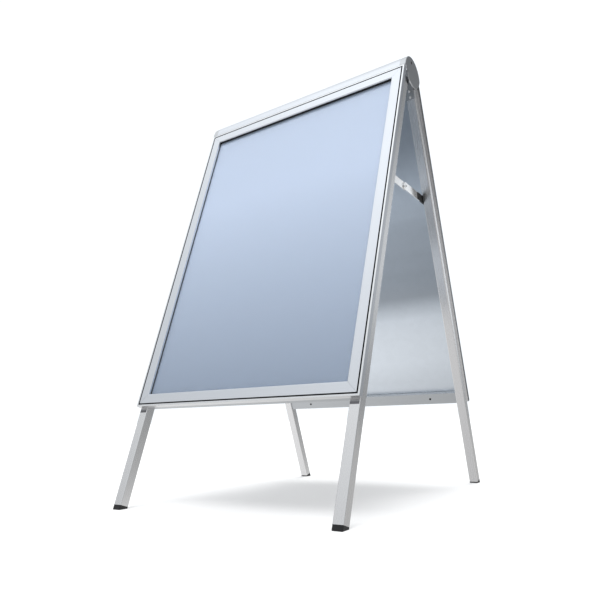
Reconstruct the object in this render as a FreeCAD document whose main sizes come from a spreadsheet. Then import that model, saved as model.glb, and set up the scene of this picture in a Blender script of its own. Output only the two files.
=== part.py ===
import FreeCAD, Part
import math
import os
import re
import Sketcher
from FreeCAD import Placement, Rotation, Vector

# Free-standing two-sided pavement sign: two snap frames on square legs, hinged under an arched header
# and held open by a pair of folding stays.
# World frame: X across the sign, the front poster faces -Y, Z up, origin on the floor amid the feet.
# Leaf frame: X across, Y inward from the frame's front face, Z up along the leaf from the floor line.
# Bar frame of a snap profile: X along the bar, Y inward, Z from the frame's outer edge towards the window.

# Driving dimensions in millimetres and degrees: name, value, meaning.
DIMENSIONS = [
    ("poster_width", 594, "poster sheet, across"),
    ("poster_height", 841, "poster sheet, up"),
    ("poster_overlap", 10, "poster edge hidden under each flap"),
    ("profile_width", 32, "snap profile, outer edge to window"),
    ("profile_depth", 12, "snap profile, front face to back"),
    ("floor_wall", 1.5, "back wall of the snap profile"),
    ("floor_setback", 2, "back wall's inner edge short of the window"),
    ("rim_width", 4.8, "fixed outer rim beside the flap"),
    ("rim_wall", 1.2, "walls round the rim's chamber"),
    ("rim_round", 1, "outer front edge of the rim"),
    ("rib_width", 1.2, "rib that locates the sheets"),
    ("rib_height", 1.2, "rib that locates the sheets"),
    ("sheet_clearance", 0.2, "sheet edge to rib"),
    ("nose_radius", 5, "flap's hook, outside, about its pivot"),
    ("nose_round", 1.5, "outer front edge of a flap"),
    ("nose_gap", 0.4, "rim to the flap's nose as it turns"),
    ("bead_radius", 3.3, "round bead that a flap turns on"),
    ("bead_clearance", 0.08, "bead to the flap's hook"),
    ("web_thickness", 1.6, "web under the bead"),
    ("web_clearance", 0.3, "web to the hook's ends"),
    ("flap_opening", 85, "full turn of a flap"),
    ("flap_wall", 1.5, "flap face plate"),
    ("lip_wall", 1.4, "flap lip along the window"),
    ("lip_round", 2, "window edge of a flap"),
    ("lip_clearance", 0.1, "flap lip to the clear sheet"),
    ("mitre_gap", 0.2, "flap end to the mitre plane"),
    ("hook_clearance", 0.5, "hook end to the neighbouring flap"),
    ("corner_skin", 0.5, "flap face left over the corner"),
    ("panel_thickness", 1, "galvanised back panel"),
    ("panel_corner", 2, "back panel corner"),
    ("paper_thickness", 0.3, "poster"),
    ("cover_thickness", 0.5, "clear cover sheet"),
    ("sheet_play", 0.1, "between the stacked sheets"),
    ("key_length", 40, "corner key leg"),
    ("key_clearance", 0.1, "corner key to its chamber"),
    ("spring_wall", 0.5, "flap spring strip"),
    ("spring_width", 22, "flap spring, along the bar"),
    ("spring_gap", 0.4, "spring tip to the flap's nose"),
    ("spring_lean", 36, "spring tip, angle round the pivot"),
    ("spring_margin", 8, "crossbar screw head to the nearest spring"),
    ("frame_bottom", 260, "floor to frame, along the leaf"),
    ("lean", 19.5, "leaf from upright"),
    ("leg_width", 24, "square leg tube, across"),
    ("leg_depth", 24, "square leg tube, front to back"),
    ("leg_wall", 1.5, "leg tube wall"),
    ("leg_corner", 2, "leg tube outer corner"),
    ("leg_inset", 3.5, "frame edge to leg"),
    ("leg_head", 15, "leg top below the frame top"),
    ("foot_rim", 4, "least height of a foot below the tube"),
    ("foot_round", 1.5, "sole edges of a foot"),
    ("spigot_length", 18, "foot plug inside the tube"),
    ("spigot_wall", 2, "foot plug wall"),
    ("spigot_clearance", 0.15, "foot plug to tube"),
    ("crossbar_height", 31, "channel between the legs"),
    ("crossbar_depth", 20, "channel between the legs"),
    ("crossbar_wall", 1.5, "channel between the legs"),
    ("crossbar_rise", 3, "channel above the frame bottom"),
    ("hinge_wall", 2, "hinge plate"),
    ("hinge_gap", 3, "between the hinge plates when folded"),
    ("hinge_rise", 20, "hinge pin above the frame top"),
    ("hinge_drop", 32, "hinge plate below the leg top"),
    ("knuckle_radius", 4.5, "hinge barrel"),
    ("knuckle_width", 8, "middle barrel"),
    ("knuckle_gap", 0.4, "between barrels, and barrel to plate"),
    ("pin_radius", 2.5, "hinge pin"),
    ("pin_clearance", 0.05, "hinge pin to barrel"),
    ("pin_head_radius", 3.6, "hinge pin head"),
    ("pin_head", 1.2, "hinge pin head"),
    ("rivet_edge", 6, "plate end to the lower hinge rivet"),
    ("rivet_pitch", 15, "between the hinge rivets"),
    ("rivet_head_radius", 3, "rivet head"),
    ("rivet_head", 1.1, "rivet head"),
    ("rivet_radius", 1.6, "rivet shank"),
    ("rivet_tip", 0.6, "rivet past the last wall"),
    ("screw_head_radius", 3, "screw head"),
    ("screw_head", 1, "screw head"),
    ("screw_radius", 1.75, "screw shank"),
    ("screw_tip", 0.6, "screw past the last wall"),
    ("head_taper", 30, "side of a screw or rivet head, from its axis"),
    ("hole_clearance", 0.1, "fastener to its hole"),
    ("leg_screw_edge", 45, "frame end to the first leg screw"),
    ("leg_screw_inset", 17.2, "frame side to the leg screws"),
    ("bar_screw_rise", 15, "crossbar screw above the channel's lower edge"),
    ("bar_screw_pitch", 424, "between the crossbar screws"),
    ("header_screw_drop", 7, "header screw below the frame top"),
    ("header_screw_pitch", 120, "between the header screws"),
    ("header_rise", 32, "header apex above the hinge pin"),
    ("header_wall", 2, "header profile wall"),
    ("header_gap", 1, "header lip to the rear frame"),
    ("flange_gap", 1.5, "header flange to the legs"),
    ("cap_sleeve", 14, "header end cap, along the header"),
    ("cap_plate", 2.5, "end plate of the cap"),
    ("cap_gap", 0.3, "frame side to the cap's end plate"),
    ("cap_radius", 45, "lower edge of the cap, about the hinge pin"),
    ("cap_nose", 32, "cap's lower front corner, inward from the frame's face"),
    ("cap_dip", 23, "cap's lower front corner below the frame top"),
    ("cap_step", 13, "cap on the frame top, front to back"),
    ("cap_round", 2, "outer edge of the cap"),
    ("stay_level", 842, "stay pivot up the leaf"),
    ("stay_depth", 26, "stay pivot inward from the frame's face"),
    ("stay_height", 20, "stay bar"),
    ("stay_wall", 2.5, "stay bar"),
    ("stay_gap", 0.3, "between the stay's lanes"),
    ("stay_end_wall", 3.5, "moulded stay end"),
    ("stay_end_length", 44, "moulded stay end beyond its pivot"),
    ("stay_lap", 16, "stay bar on its moulded end"),
    ("stay_peg_radius", 2, "moulded peg through the bar"),
    ("stay_peg_edge", 4, "moulded peg from the ends of the lap"),
    ("stay_pin_radius", 3, "stay pivot pin"),
    ("stay_pin_clearance", 0.08, "stay pivot pin to its eye"),
    ("stay_head_radius", 5.5, "stay pin and rivet heads"),
    ("stay_head", 1.5, "stay pin heads"),
    ("stay_shoulder", 5, "spacing shoulder of the front stay pins"),
]

# Sizes that follow from the driving dimensions, as formulas of their names.
DERIVED = {
    "frame_width": "poster_width - 2 * poster_overlap + 2 * profile_width",
    "frame_height": "poster_height - 2 * poster_overlap + 2 * profile_width",
    "frame_top": "frame_bottom + frame_height",
    "frame_middle": "frame_bottom + frame_height / 2",
    "floor_front": "profile_depth - floor_wall",
    "floor_edge": "profile_width - floor_setback",
    "nose_sweep": "sqrt(2) * (nose_radius - nose_round) + nose_round",
    "bead_inset": "rim_width + nose_gap + nose_sweep",
    "hook_bore": "bead_radius + bead_clearance",
    "hook_margin": "asin((web_thickness / 2 + web_clearance) / hook_bore)",
    "hook_start": "90deg - hook_margin",
    "hook_end": "(90 + flap_opening) * 1deg + hook_margin",
    "nose_out": "bead_inset + nose_radius * cos(hook_end)",
    "neck_depth": "nose_radius + sqrt(bead_radius ^ 2 - (web_thickness / 2) ^ 2)",
    "rib_inner": "profile_width - poster_overlap - sheet_clearance",
    "rib_outer": "rib_inner - rib_width",
    "paper_back": "floor_front - panel_thickness - sheet_play",
    "cover_back": "paper_back - paper_thickness - sheet_play",
    "cover_front": "cover_back - cover_thickness",
    "lip_end": "cover_front - lip_clearance",
    "leg_out": "frame_width / 2 - leg_inset",
    "leg_in": "leg_out - leg_width",
    "leg_centre": "leg_out - leg_width / 2",
    "leg_front": "profile_depth",
    "leg_back": "profile_depth + leg_depth",
    "leg_top": "frame_top - leg_head",
    "leg_end": "leg_back * tan(lean) + foot_rim",
    "pin_up": "frame_top + hinge_rise",
    "pin_in": "leg_back + hinge_wall + hinge_gap / 2",
    "pin_z": "pin_up * cos(lean) - pin_in * sin(lean)",
    "leaf_y": "-(pin_up * sin(lean) + pin_in * cos(lean))",
    "plate_low": "leg_top - hinge_drop",
    "knuckle_half": "knuckle_width / 2",
    "stay_y": "leaf_y + stay_level * sin(lean) + stay_depth * cos(lean)",
    "stay_z": "stay_level * cos(lean) - stay_depth * sin(lean)",
    "stay_reach": "-stay_y",
    "stay_boss": "stay_end_wall - stay_wall",
    "bar_start": "stay_end_length - stay_lap + hole_clearance",
    "rear_lane_out": "leg_in - stay_gap",
    "rear_lane_in": "rear_lane_out - stay_end_wall",
    "front_lane_out": "rear_lane_in - stay_gap",
    "front_lane_in": "front_lane_out - stay_end_wall",
    "corner_y": "-(leaf_y + frame_top * sin(lean))",
    "corner_rise": "frame_top * cos(lean) - pin_z",
    "lip_y": "corner_y + header_gap + header_wall",
    "arch_centre": "(header_rise - pin_in) / (1 - sin(lean))",
    "arch_radius": "header_rise - arch_centre",
    "hood_drop": "header_rise - corner_rise",
    "hood_radius": "(lip_y ^ 2 + hood_drop ^ 2) / (2 * hood_drop)",
    "hood_centre": "header_rise - hood_radius",
    "hood_in": "hood_radius - header_wall",
    "lip_in_y": "sqrt(hood_in ^ 2 - (corner_rise - hood_centre) ^ 2)",
    "arch_up": "pin_up + arch_centre * cos(lean)",
    "flange_back": "profile_depth + header_wall",
    "flange_low": "leg_top + flange_gap",
    "header_half": "frame_width / 2 - cap_sleeve",
    "cap_inner": "frame_width / 2 + cap_gap",
    "cap_outer": "cap_inner + cap_plate",
    "apex_in": "pin_in - header_rise * sin(lean)",
    "apex_up": "pin_up + header_rise * cos(lean)",
    "under_rise": "header_rise - header_wall",
    "lip_out_in": "pin_in + lip_y * cos(lean) - corner_rise * sin(lean)",
    "lip_out_up": "pin_up + lip_y * sin(lean) + corner_rise * cos(lean)",
    "lip_under_in": "pin_in + lip_in_y * cos(lean) - corner_rise * sin(lean)",
    "lip_under_up": "pin_up + lip_in_y * sin(lean) + corner_rise * cos(lean)",
    "level_spring": "bar_screw_pitch / 2 - screw_head_radius - spring_margin - spring_width / 2",
    "upright_spring": "(frame_height / 2 - leg_screw_edge) * 2 / 3",
    "spring_tip_depth": "nose_radius + (nose_radius + spring_gap) * sin(spring_lean)",
    "spring_tip_inset": "bead_inset + (nose_radius + spring_gap) * cos(spring_lean)",
}

doc = FreeCAD.newDocument("pavement_sign")
sheet = doc.addObject("Spreadsheet::Sheet", "dims")
for row, (name, value, meaning) in enumerate(DIMENSIONS, start=1):
    sheet.set(f"A{row}", str(value))
    sheet.setAlias(f"A{row}", name)
    sheet.set(f"B{row}", meaning)
doc.recompute()

SHEET_NAMES = {name for name, value, meaning in DIMENSIONS}
sub_parts = []


def bind(formula):
    """A formula of the names above, as an expression on the sheet."""
    def swap(match):
        name = match.group(0)
        if name in DERIVED:
            return "(" + bind(DERIVED[name]) + ")"
        if name in SHEET_NAMES:
            return "dims." + name
        return name
    return re.sub(r"[a-z_]+", swap, str(formula))


def number(formula):
    return float(sheet.evalExpression(bind(formula)))


def signed(sign, formula):
    """The formula on one side of the middle plane."""
    return f"({formula})" if sign > 0 else f"-({formula})"


def new_body(label, placement):
    body = doc.addObject("PartDesign::Body", label)
    body.Label = label
    body.Placement = placement
    sub_parts.append(body)
    return body


def arc_edge(start, end, radius, turn, large):
    """Arc from start to end; turn is +1 counter-clockwise, -1 clockwise."""
    chord = end - start
    rise = math.sqrt(max(radius ** 2 - (chord.Length / 2) ** 2, 0))
    left = Vector(-chord.y, chord.x, 0).normalize()
    side = -turn if large else turn
    centre = (start + end) / 2 + left * (rise * side)
    first, last = (start, end) if turn > 0 else (end, start)
    angles = [math.atan2(point.y - centre.y, point.x - centre.x) for point in (first, last)]
    return Part.ArcOfCircle(Part.Circle(centre, Vector(0, 0, 1), radius), *angles)


def outline(body, role, name, loops, offset="0"):
    """Dimensioned sketch on one of the body's own planes, moved by offset along the plane's normal.

    A loop of one entry is a circle: across, up, radius. In a longer loop each entry is a corner: across, up
    and, where the edge to the next corner is an arc, its radius, its turn and whether it is the larger arc.
    """
    sketch = body.newObject("Sketcher::SketchObject", f"{body.Label}_{name}")
    plane = [feature for feature in body.Origin.OriginFeatures if feature.Role == role][0]
    sketch.AttachmentSupport = [(plane, "")]
    sketch.MapMode = "FlatFace"
    sketch.setExpression("AttachmentOffset.Base.z", bind(offset))
    geometry = []
    constraints = []
    formulas = []

    def dimension(kind, reference, formula):
        formulas.append((len(constraints), formula))
        constraints.append(Sketcher.Constraint(kind, *reference, number(formula)))

    for loop in loops:
        first = len(geometry)
        if len(loop) == 1:
            across, up, radius = loop[0]
            centre = Vector(number(across), number(up), 0)
            geometry.append(Part.Circle(centre, Vector(0, 0, 1), number(radius)))
            dimension("Radius", (first,), radius)
            dimension("DistanceX", (-1, 1, first, 3), across)
            dimension("DistanceY", (-1, 1, first, 3), up)
            continue
        corners = [Vector(number(corner[0]), number(corner[1]), 0) for corner in loop]
        ends = []
        for index, corner in enumerate(loop):
            start = corners[index]
            end = corners[(index + 1) % len(loop)]
            if len(corner) == 2:
                geometry.append(Part.LineSegment(start, end))
                ends.append((1, 2))
            else:
                radius, turn, large = (*corner[2:], False)[:3]
                geometry.append(arc_edge(start, end, number(radius), turn, large))
                ends.append((1, 2) if turn > 0 else (2, 1))
        for index, corner in enumerate(loop):
            after = (index + 1) % len(loop)
            edge = first + index
            start, end = ends[index]
            joined = (edge, end, first + after, ends[after][0])
            constraints.append(Sketcher.Constraint("Coincident", *joined))
            dimension("DistanceX", (-1, 1, edge, start), corner[0])
            dimension("DistanceY", (-1, 1, edge, start), corner[1])
            if len(corner) > 2:
                dimension("Radius", (edge,), corner[2])
    sketch.addGeometry(geometry, False)
    sketch.addConstraint(constraints)
    for index, formula in formulas:
        sketch.setExpression(f"Constraints[{index}]", bind(formula))
    return sketch


def pad(body, sketch, length, symmetric=False, reverse=False, taper="0"):
    feature = body.newObject("PartDesign::Pad", sketch.Label + "_pad")
    feature.Profile = sketch
    feature.SideType = "Symmetric" if symmetric else "One side"
    feature.Reversed = reverse
    feature.setExpression("TaperAngle", bind(taper))
    feature.setExpression("Length", bind(length))
    return feature


def cut(body, sketch, length):
    """Cut away a length that lies half on each side of the sketch."""
    feature = body.newObject("PartDesign::Pocket", sketch.Label + "_cut")
    feature.Profile = sketch
    feature.SideType = "Symmetric"
    feature.setExpression("Length", bind(length))
    return feature


def revolve(body, sketch):
    feature = body.newObject("PartDesign::Revolution", sketch.Label + "_turn")
    feature.Profile = sketch
    feature.ReferenceAxis = (sketch, ["H_Axis"])
    feature.Angle = 360
    return feature


def round_edges(body, radius, chosen):
    """Fillet the edges of the body's last feature that the test chooses."""
    doc.recompute()
    base = body.Tip
    names = [f"Edge{index}" for index, edge in enumerate(base.Shape.Edges, start=1) if chosen(edge)]
    feature = body.newObject("PartDesign::Fillet", f"{body.Label}_{radius}")
    feature.Base = (base, names)
    feature.setExpression("Radius", bind(radius))
    return feature


def rectangle(left, low, right, high):
    return [(left, low), (right, low), (right, high), (left, high)]


def rounded(left, low, right, high, radius):
    return [
        (f"{left} + {radius}", low),
        (f"{right} - {radius}", low, radius, 1),
        (right, f"{low} + {radius}"),
        (right, f"{high} - {radius}", radius, 1),
        (f"{right} - {radius}", high),
        (f"{left} + {radius}", high, radius, 1),
        (left, f"{high} - {radius}"),
        (left, f"{low} + {radius}", radius, 1),
    ]


def clearance_holes(centres, radius):
    """Holes that clear fasteners of the given shank radius."""
    return [[(x, z, f"{radius} + hole_clearance")] for x, z in centres]


def on_side(centres, sign):
    """The centres on one side of the middle plane."""
    return [(x, z) for x, z in centres if x.startswith("-") == (sign < 0)]


def across(sign, near, far):
    """The lower and the higher formula of a span on one side of the middle plane."""
    return (near, far) if sign > 0 else (f"-({far})", f"-({near})")


FRONT = Placement(Vector(0, number("leaf_y"), 0), Rotation(Vector(1, 0, 0), -number("lean")))
LEAVES = {"front": FRONT, "rear": Placement(Vector(), Rotation(Vector(0, 0, 1), 180)) * FRONT}
# Which way the leaf's own X points in the world.
LEAF_TURN = {"front": 1, "rear": -1}
SIDE_NAME = {-1: "left", 1: "right"}
SIDES = (-1, 1)
# An edge is picked for rounding by a few points along it, to this limit.
EDGE_POINTS = 5
EDGE_LIMIT = 0.001


def side_label(leaf, sign):
    """Left or right, as seen from the front of the sign."""
    return SIDE_NAME[sign * LEAF_TURN[leaf]]


def at(across_formula, inward_formula, up_formula):
    return Placement(Vector(number(across_formula), number(inward_formula), number(up_formula)), Rotation())


# The snap frame: four mitred bars, each a fixed rail with a bead and a flap that hooks over the bead.
BARS = {
    "bottom": ("0", "frame_bottom", "frame_width"),
    "right": ("frame_width / 2", "frame_middle", "frame_height"),
    "top": ("0", "frame_top", "frame_width"),
    "left": ("-frame_width / 2", "frame_middle", "frame_height"),
}
# Turn of a bar about the leaf's depth, in degrees.
BAR_ANGLE = {"bottom": 0, "right": -90, "top": 180, "left": 90}
LEG_SCREW_STEPS = ("-1", "-1 / 3", "1 / 3", "1")
HEADER_SCREW_STEPS = ("-2", "-1", "0", "1", "2")


def bar_label(leaf, side):
    if side in ("top", "bottom"):
        return f"{leaf}_{side}"
    return f"{leaf}_" + side_label(leaf, 1 if side == "right" else -1)


def bar_placement(leaf, side):
    across_formula, up_formula, length = BARS[side]
    turn = Placement(Vector(), Rotation(Vector(0, 1, 0), BAR_ANGLE[side]))
    return LEAVES[leaf] * at(across_formula, "0", up_formula) * turn


def mitre(body, length, gap):
    """Cut both ends of a bar back to 45 degrees, short of the mitre plane by the gap."""
    loops = []
    for sign in SIDES:
        loops.append([
            (signed(sign, f"{length} / 2 - {gap} + rim_width"), "-rim_width"),
            (signed(sign, f"{length} / 2 + 2 * rim_width"), "-rim_width"),
            (signed(sign, f"{length} / 2 + 2 * rim_width"), "profile_width + rim_width"),
            (signed(sign, f"{length} / 2 - {gap} - profile_width - rim_width"), "profile_width + rim_width"),
        ])
    cut(body, outline(body, "XZ_Plane", "mitre", loops), "4 * profile_depth")


def rail(leaf, side, holes):
    body = new_body(bar_label(leaf, side) + "_rail", bar_placement(leaf, side))
    length = BARS[side][2]
    section = [
        ("0", "rim_round"),
        ("0", "rim_width - rim_round / 2", "rim_round / 2", -1),
        ("rim_round / 2", "rim_width"),
        ("floor_front", "rim_width"),
        ("floor_front", "bead_inset - web_thickness / 2"),
        ("neck_depth", "bead_inset - web_thickness / 2", "bead_radius", -1, True),
        ("neck_depth", "bead_inset + web_thickness / 2"),
        ("floor_front", "bead_inset + web_thickness / 2"),
        ("floor_front", "rib_outer"),
        ("floor_front - rib_height", "rib_outer"),
        ("floor_front - rib_height", "rib_inner"),
        ("floor_front", "rib_inner"),
        ("floor_front", "floor_edge"),
        ("profile_depth", "floor_edge"),
        ("profile_depth", "0"),
        ("rim_round", "0", "rim_round", -1),
    ]
    chamber = rectangle("rim_wall", "rim_wall", "profile_depth - rim_wall", "rim_width - rim_wall")
    pad(body, outline(body, "YZ_Plane", "section", [section, chamber]), length, symmetric=True)
    mitre(body, length, "0")
    if holes:
        circles = clearance_holes(holes, "screw_radius")
        sketch = outline(body, "XZ_Plane", "holes", circles, "-(profile_depth - floor_wall / 2)")
        cut(body, sketch, "2 * floor_wall")


def flap(leaf, side):
    body = new_body(bar_label(leaf, side) + "_flap", bar_placement(leaf, side))
    length = BARS[side][2]
    plate_start = "bead_inset + sqrt(nose_radius ^ 2 - (nose_radius - flap_wall) ^ 2)"
    section = [
        ("0", "nose_out + nose_round"),
        ("0", "profile_width - lip_round", "lip_round", -1),
        ("lip_round", "profile_width"),
        ("lip_end", "profile_width"),
        ("lip_end", "profile_width - lip_wall"),
        ("flap_wall", "profile_width - lip_wall"),
        ("flap_wall", plate_start, "nose_radius", -1),
        ("nose_radius + nose_radius * sin(hook_start)", "bead_inset + nose_radius * cos(hook_start)"),
        ("nose_radius + hook_bore * sin(hook_start)", "bead_inset + hook_bore * cos(hook_start)",
         "hook_bore", 1, True),
        ("nose_radius + hook_bore * sin(hook_end)", "bead_inset + hook_bore * cos(hook_end)"),
        ("nose_radius + nose_radius * sin(hook_end)", "nose_out"),
        ("nose_round", "nose_out", "nose_round", -1),
    ]
    pad(body, outline(body, "YZ_Plane", "section", [section]), length, symmetric=True)
    mitre(body, length, "mitre_gap")
    # The hook stops short of the corner, so that it turns clear of the neighbouring flap.
    trim_hook(body, length, "bead_inset + nose_radius + hook_clearance", "nose_radius")
    trim_hook(body, length, "bead_inset", "corner_skin")


def trim_hook(body, length, stop, depth):
    """Cut the hook square at both ends, below the given depth and nearer the corner than the stop."""
    loops = []
    for sign in SIDES:
        left, right = across(sign, f"{length} / 2 - ({stop})", f"{length} / 2 + rim_width")
        loops.append(rectangle(left, "0", right, stop))
    sketch = outline(body, "XZ_Plane", f"trim_{depth}", loops, f"-({depth} + profile_depth / 2)")
    cut(body, sketch, "profile_depth")


def corner_keys(leaf):
    body = new_body(f"{leaf}_corner_keys", LEAVES[leaf] * at("0", "0", "frame_middle"))
    outer = "rim_wall + key_clearance"
    inner = "rim_width - rim_wall - key_clearance"
    loops = []
    for side in SIDES:
        for level in SIDES:
            spots = [
                (outer, outer),
                (f"{outer} + key_length", outer),
                (f"{outer} + key_length", inner),
                (inner, inner),
                (inner, f"{outer} + key_length"),
                (outer, f"{outer} + key_length"),
            ]
            loops.append([
                (signed(side, f"frame_width / 2 - ({x})"), signed(level, f"frame_height / 2 - ({z})"))
                for x, z in spots
            ])
    sketch = outline(body, "XZ_Plane", "keys", loops, "-profile_depth / 2")
    pad(body, sketch, "profile_depth - 2 * rim_wall - 2 * key_clearance", symmetric=True)


def flap_springs(leaf):
    """Bent strips on the rail floors, two to a bar, behind the flaps' noses."""
    body = new_body(f"{leaf}_flap_springs", LEAVES[leaf] * at("0", "0", "frame_middle"))
    section = [
        ("floor_front", "rib_outer - sheet_clearance"),
        ("floor_front - spring_wall", "rib_outer - sheet_clearance"),
        ("floor_front - spring_wall", "spring_tip_inset + 3 * spring_wall"),
        ("spring_tip_depth", "spring_tip_inset + spring_wall"),
        ("spring_tip_depth", "spring_tip_inset"),
        ("floor_front", "spring_tip_inset + 2 * spring_wall"),
    ]
    for sign in SIDES:
        place = SIDE_NAME[sign]
        level_loops = []
        upright_loops = []
        for end in SIDES:
            up = [signed(end, f"frame_height / 2 - ({inset})") for depth, inset in section]
            out = [signed(end, f"frame_width / 2 - ({inset})") for depth, inset in section]
            depths = [depth for depth, inset in section]
            level_loops.append(list(zip(depths, up)))
            upright_loops.append(list(zip(out, depths)))
        level = outline(body, "YZ_Plane", f"level_{place}", level_loops, signed(sign, "level_spring"))
        pad(body, level, "spring_width", symmetric=True)
        upright = outline(body, "XY_Plane", f"upright_{place}", upright_loops, signed(sign, "upright_spring"))
        pad(body, upright, "spring_width", symmetric=True)


def back_panel(leaf):
    body = new_body(f"{leaf}_back_panel", LEAVES[leaf] * at("0", "0", "frame_middle"))
    sheet_loop = rounded("-poster_width / 2", "-poster_height / 2", "poster_width / 2", "poster_height / 2",
                         "panel_corner")
    pad(body, outline(body, "XZ_Plane", "sheet", [sheet_loop], "-floor_front"), "panel_thickness")


def flat_sheet(label, leaf, back, thickness):
    box = doc.addObject("Part::Box", label)
    box.Label = label
    box.setExpression("Length", bind("poster_width"))
    box.setExpression("Width", bind(thickness))
    box.setExpression("Height", bind("poster_height"))
    corner = at("-poster_width / 2", f"{back} - {thickness}", "frame_middle - poster_height / 2")
    box.Placement = LEAVES[leaf] * corner
    sub_parts.append(box)


# Shank radius, head radius and head height.
SCREW = ("screw_radius", "screw_head_radius", "screw_head")
RIVET = ("rivet_radius", "rivet_head_radius", "rivet_head")


def fasteners(label, placement, centres, seat, length, inward, sizes):
    """Pan-headed fasteners along Y, heads seated at the given depth, shanks going inward or outward."""
    body = new_body(label, placement)
    radius, head_radius, head = sizes
    shanks = [[(x, z, radius)] for x, z in centres]
    heads = [[(x, z, head_radius)] for x, z in centres]
    pad(body, outline(body, "XZ_Plane", "shanks", shanks, f"-({seat})"), length, reverse=inward)
    rims = outline(body, "XZ_Plane", "heads", heads, f"-({seat})")
    pad(body, rims, head, reverse=not inward, taper="-head_taper")


def leg(leaf, sign):
    body = new_body(f"{leaf}_{side_label(leaf, sign)}_leg", LEAVES[leaf])
    left, right = across(sign, "leg_in", "leg_out")
    tube = [
        rounded(left, "leg_front", right, "leg_back", "leg_corner"),
        rounded(f"{left} + leg_wall", "leg_front + leg_wall", f"{right} - leg_wall", "leg_back - leg_wall",
                "(leg_corner - leg_wall)"),
    ]
    pad(body, outline(body, "XY_Plane", "tube", tube, "leg_end"), "leg_top - leg_end")
    screws = clearance_holes(on_side(leg_screw_centres(), sign), "screw_radius")
    cut(body, outline(body, "XZ_Plane", "screw_holes", screws, "-(leg_front + leg_wall / 2)"), "2 * leg_wall")
    rivets = clearance_holes(on_side(rivet_centres(), sign), "rivet_radius")
    cut(body, outline(body, "XZ_Plane", "rivet_holes", rivets, "-(leg_back - leg_wall / 2)"), "2 * leg_wall")
    eye = [[("stay_depth", "stay_level", "stay_pin_radius + hole_clearance")]]
    wall = signed(sign, "leg_in + leg_wall / 2")
    cut(body, outline(body, "YZ_Plane", "stay_hole", eye, wall), "2 * leg_wall")


def leg_screw_centres():
    """Leg screws in the leaf frame."""
    return [
        (signed(sign, "frame_width / 2 - leg_screw_inset"),
         f"frame_middle + (frame_height / 2 - leg_screw_edge) * ({step})")
        for sign in SIDES for step in LEG_SCREW_STEPS
    ]


def rivet_centres():
    """Hinge rivets in the leaf frame."""
    return [
        (signed(sign, "leg_centre"), f"plate_low + rivet_edge + {step} * rivet_pitch")
        for sign in SIDES for step in (0, 1)
    ]


def foot(leaf, sign):
    """Moulded wedge that ends the tube, flat on the floor, with a hollow plug inside the tube."""
    body = new_body(f"{leaf}_{side_label(leaf, sign)}_foot", LEAVES[leaf])
    left, right = across(sign, "leg_in", "leg_out")
    wedge = [
        ("leg_front", "leg_front * tan(lean)"),
        ("leg_back", "leg_back * tan(lean)"),
        ("leg_back", "leg_end"),
        ("leg_front", "leg_end"),
    ]
    pad(body, outline(body, "YZ_Plane", "wedge", [wedge], left), "leg_width")
    slope = math.tan(math.radians(number("lean")))

    def upright(edge):
        return abs(edge.tangentAt(edge.FirstParameter).z) > 1 - EDGE_LIMIT

    def on_sole(edge):
        return all(abs(point.z - point.y * slope) < EDGE_LIMIT for point in edge.discretize(EDGE_POINTS))

    round_edges(body, "leg_corner", upright)
    round_edges(body, "foot_round", on_sole)
    gap = "(leg_wall + spigot_clearance)"
    plug = [
        rounded(f"{left} + {gap}", f"leg_front + {gap}",
                f"{right} - {gap}", f"leg_back - {gap}", "leg_corner"),
        rectangle(f"{left} + {gap} + spigot_wall", f"leg_front + {gap} + spigot_wall",
                  f"{right} - {gap} - spigot_wall", f"leg_back - {gap} - spigot_wall"),
    ]
    pad(body, outline(body, "XY_Plane", "plug", plug, "leg_end"), "spigot_length")


def crossbar(leaf):
    body = new_body(f"{leaf}_crossbar", LEAVES[leaf])
    low = "frame_bottom + crossbar_rise"
    high = f"{low} + crossbar_height"
    back = "leg_front + crossbar_depth"
    channel = [
        ("leg_front", low),
        (back, low),
        (back, high),
        ("leg_front", high),
        ("leg_front", f"{high} - crossbar_wall"),
        (f"{back} - crossbar_wall", f"{high} - crossbar_wall"),
        (f"{back} - crossbar_wall", f"{low} + crossbar_wall"),
        ("leg_front", f"{low} + crossbar_wall"),
    ]
    pad(body, outline(body, "YZ_Plane", "channel", [channel]), "2 * leg_in", symmetric=True)
    holes = clearance_holes(crossbar_screw_centres(), "screw_radius")
    sketch = outline(body, "XZ_Plane", "holes", holes, f"-({back} - crossbar_wall / 2)")
    cut(body, sketch, "2 * crossbar_wall")


def crossbar_screw_centres():
    """Crossbar screws in the leaf frame."""
    up = "frame_bottom + crossbar_rise + bar_screw_rise"
    return [(signed(sign, "bar_screw_pitch / 2"), up) for sign in SIDES]


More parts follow.
